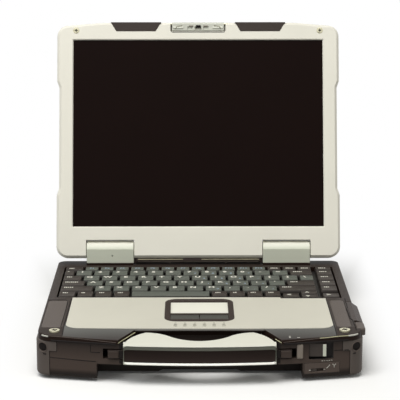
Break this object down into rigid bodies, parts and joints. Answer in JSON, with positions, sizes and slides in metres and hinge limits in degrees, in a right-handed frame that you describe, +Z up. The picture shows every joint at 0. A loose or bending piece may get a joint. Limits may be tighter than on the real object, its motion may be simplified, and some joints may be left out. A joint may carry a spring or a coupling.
{
  "type": "laptop computer",
  "caption": "Open rugged laptop with a thick silver lid on two barrel hinges, a black base, a keyboard, a touchpad, side doors and a pull-out carrying handle at the front.",
  "frame": {"origin": "on the table under the middle of the base's width, 135 mm in front of the base's rear edge", "axes": "+X to the user's right, +Y to the back, +Z up"},
  "size_m": [0.3115, 0.3643, 0.2979],
  "materials": {
    "black_plastic": "fine-grained satin black",
    "black_case": "coated black magnesium alloy, fine texture",
    "black_guard": "textured black elastomer",
    "silver_lid": "silver paint with a fine sparkle over cast magnesium",
    "silver_panel": "satin silver paint",
    "grip_black": "smooth black",
    "rubber": "matte black rubber",
    "screw_steel": "plated steel",
    "latch_metal": "satin silver",
    "steel_sheet": "bare sheet steel",
    "key_dark": "matt dark keys",
    "key_grey": "matt grey keys",
    "touch_white": "matt off-white",
    "button_grey": "matt dark grey",
    "status_clear": "translucent light windows",
    "screen_glass": "dark screen, switched off",
    "panel_dark": "dark plastic",
    "board_green": "green circuit board",
    "spreader_metal": "bare aluminium",
    "port_metal": "plated shells"
  },
  "bodies": {
    "base": {"bottom_case": "black_case", "top_deck": "black_plastic", "palm_rest": "silver_panel", "wrist_pad_left": "black_guard", "wrist_pad_right": "black_guard", "deck_screws": "screw_steel", "status_lights": "status_clear", "touchpad_bezel": "black_plastic", "touchpad_plate": "touch_white", "key_plate": "black_plastic", "key_membrane": "panel_dark", "rubber_domes": "rubber", "hinge_cover_left": "silver_panel", "hinge_cover_right": "silver_panel", "corner_guard_left": "black_guard", "corner_guard_right": "black_guard", "radio_plate": "black_plastic", "rear_connectors": "port_metal", "battery_pack": "panel_dark", "hard_drive": "steel_sheet", "card_cage": "steel_sheet", "mainboard": "board_green", "heat_spreader": "spreader_metal", "memory_module": "board_green", "wireless_card": "board_green", "speaker": "panel_dark", "feet": "rubber", "bottom_screws": "screw_steel", "latch_catch": "black_plastic"},
    "lid": {"lid_cover": "silver_lid", "lid_bezel": "silver_lid", "lcd_glass": "screen_glass", "lcd_panel": "panel_dark", "hinge_brackets": "steel_sheet", "hinge_pins": "screw_steel", "lid_bumpers": "rubber", "bezel_screws": "screw_steel", "hinge_bar": "black_plastic"},
    "latch": {"latch_flap": "latch_metal"},
    "handle": {"carry_handle": "silver_panel", "handle_grip": "grip_black", "handle_slides": "black_plastic"},
    "power_switch": {"power_switch": "button_grey"},
    "radio_switch": {"radio_switch": "button_grey"},
    "touchpad_button_left": {"touchpad_button_left": "button_grey"},
    "touchpad_button_right": {"touchpad_button_right": "button_grey"},
    "battery_door": {"battery_door": "black_plastic"},
    "drive_door": {"drive_door": "black_plastic"},
    "card_door": {"card_door": "black_plastic"},
    "port_door": {"port_door": "black_plastic"},
    "battery_latch": {"battery_latch": "black_guard"},
    "function_keys": {"function_keys": "key_dark"},
    "number_keys": {"number_keys": "key_grey"},
    "upper_keys": {"upper_keys": "key_grey"},
    "home_keys": {"home_keys": "key_grey"},
    "lower_keys": {"lower_keys": "key_grey"},
    "bottom_keys": {"bottom_keys": "key_dark"},
    "space_bar": {"space_bar": "key_grey"},
    "side_keys": {"side_keys": "key_dark"},
    "arrow_keys": {"arrow_keys": "key_dark"}
  },
  "joints": [
    {"name": "lid_hinge", "type": "hinge", "parent": "base", "child": "lid", "pos_m": [0, 0.127, 0.057], "axis": [1, 0, 0], "range_deg": [-53.5, 106.5]},
    {"name": "latch_hinge", "type": "hinge", "parent": "lid", "child": "latch", "pos_m": [0, 0.18962, 0.29585], "axis": [1, 0, 0], "range_deg": [-90, 0]},
    {"name": "handle_slide", "type": "slide", "parent": "base", "child": "handle", "axis": [0, -1, 0], "range_m": [0, 0.018]},
    {"name": "power_slide", "type": "slide", "parent": "base", "child": "power_switch", "axis": [1, 0, 0], "range_m": [0, 0.0055], "stiffness_N_per_m": 200, "springref_m": -0.001},
    {"name": "radio_slide", "type": "slide", "parent": "base", "child": "radio_switch", "axis": [1, 0, 0], "range_m": [0, 0.006]},
    {"name": "battery_latch_slide", "type": "slide", "parent": "base", "child": "battery_latch", "axis": [0, 1, 0], "range_m": [0, 0.003]},
    {"name": "button_left_press", "type": "slide", "parent": "base", "child": "touchpad_button_left", "axis": [0, 0, -1], "range_m": [0, 0.0008], "stiffness_N_per_m": 600, "springref_m": -0.0003, "deforming": ["rubber_domes"]},
    {"name": "button_right_press", "type": "slide", "parent": "base", "child": "touchpad_button_right", "axis": [0, 0, -1], "range_m": [0, 0.0008], "stiffness_N_per_m": 600, "springref_m": -0.0003, "deforming": ["rubber_domes"]},
    {"name": "function_keys_press", "type": "slide", "parent": "base", "child": "function_keys", "axis": [0, 0, -1], "range_m": [0, 0.002], "stiffness_N_per_m": 2500, "springref_m": -0.0006, "deforming": ["rubber_domes"]},
    {"name": "number_keys_press", "type": "slide", "parent": "base", "child": "number_keys", "axis": [0, 0, -1], "range_m": [0, 0.002], "stiffness_N_per_m": 2500, "springref_m": -0.0006, "deforming": ["rubber_domes"]},
    {"name": "upper_keys_press", "type": "slide", "parent": "base", "child": "upper_keys", "axis": [0, 0, -1], "range_m": [0, 0.002], "stiffness_N_per_m": 2500, "springref_m": -0.0006, "deforming": ["rubber_domes"]},
    {"name": "home_keys_press", "type": "slide", "parent": "base", "child": "home_keys", "axis": [0, 0, -1], "range_m": [0, 0.002], "stiffness_N_per_m": 2500, "springref_m": -0.0006, "deforming": ["rubber_domes"]},
    {"name": "lower_keys_press", "type": "slide", "parent": "base", "child": "lower_keys", "axis": [0, 0, -1], "range_m": [0, 0.002], "stiffness_N_per_m": 2500, "springref_m": -0.0006, "deforming": ["rubber_domes"]},
    {"name": "bottom_keys_press", "type": "slide", "parent": "base", "child": "bottom_keys", "axis": [0, 0, -1], "range_m": [0, 0.002], "stiffness_N_per_m": 2500, "springref_m": -0.0006, "deforming": ["rubber_domes"]},
    {"name": "space_bar_press", "type": "slide", "parent": "base", "child": "space_bar", "axis": [0, 0, -1], "range_m": [0, 0.002], "stiffness_N_per_m": 300, "springref_m": -0.0006, "deforming": ["rubber_domes"]},
    {"name": "side_keys_press", "type": "slide", "parent": "base", "child": "side_keys", "axis": [0, 0, -1], "range_m": [0, 0.002], "stiffness_N_per_m": 2500, "springref_m": -0.0006, "deforming": ["rubber_domes"]},
    {"name": "arrow_keys_press", "type": "slide", "parent": "base", "child": "arrow_keys", "axis": [0, 0, -1], "range_m": [0, 0.002], "stiffness_N_per_m": 2500, "springref_m": -0.0006, "deforming": ["rubber_domes"]},
    {"name": "battery_door_hinge", "type": "hinge", "parent": "base", "child": "battery_door", "pos_m": [0.1475, -0.0615, 0.0105], "axis": [0, 1, 0], "range_deg": [0, 90]},
    {"name": "card_door_hinge", "type": "hinge", "parent": "base", "child": "card_door", "pos_m": [0.1475, 0.06, 0.0105], "axis": [0, 1, 0], "range_deg": [0, 90]},
    {"name": "drive_door_hinge", "type": "hinge", "parent": "base", "child": "drive_door", "pos_m": [-0.1475, 0.073, 0.0105], "axis": [0, -1, 0], "range_deg": [0, 90]},
    {"name": "port_door_hinge", "type": "hinge", "parent": "base", "child": "port_door", "pos_m": [0, 0.1315, 0.0105], "axis": [-1, 0, 0], "range_deg": [0, 90]}
  ]
}
